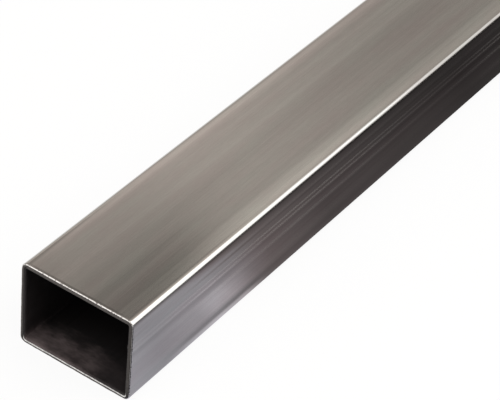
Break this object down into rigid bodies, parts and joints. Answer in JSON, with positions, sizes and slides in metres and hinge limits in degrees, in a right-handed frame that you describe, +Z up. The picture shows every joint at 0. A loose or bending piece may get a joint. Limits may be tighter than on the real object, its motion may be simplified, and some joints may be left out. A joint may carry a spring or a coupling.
{
  "type": "rectangular steel tube",
  "caption": "Straight length of rectangular hollow section in bare steel, with rolled corners, a welded seam and square sawn ends.",
  "frame": {"origin": "on the bottom face, under the middle of the tube's length and width", "axes": "+Y along the tube, away from the sawn end in the picture; +X towards the welded side face; +Z up, from the lower wide face to the upper one"},
  "size_m": [0.04, 1, 0.03],
  "materials": {
    "bare_steel": "bare rolled steel, lightly oiled, with fine lines along the tube and sawn ends"
  },
  "bodies": {
    "root": {"rectangular_tube": "bare_steel"}
  },
  "joints": []
}
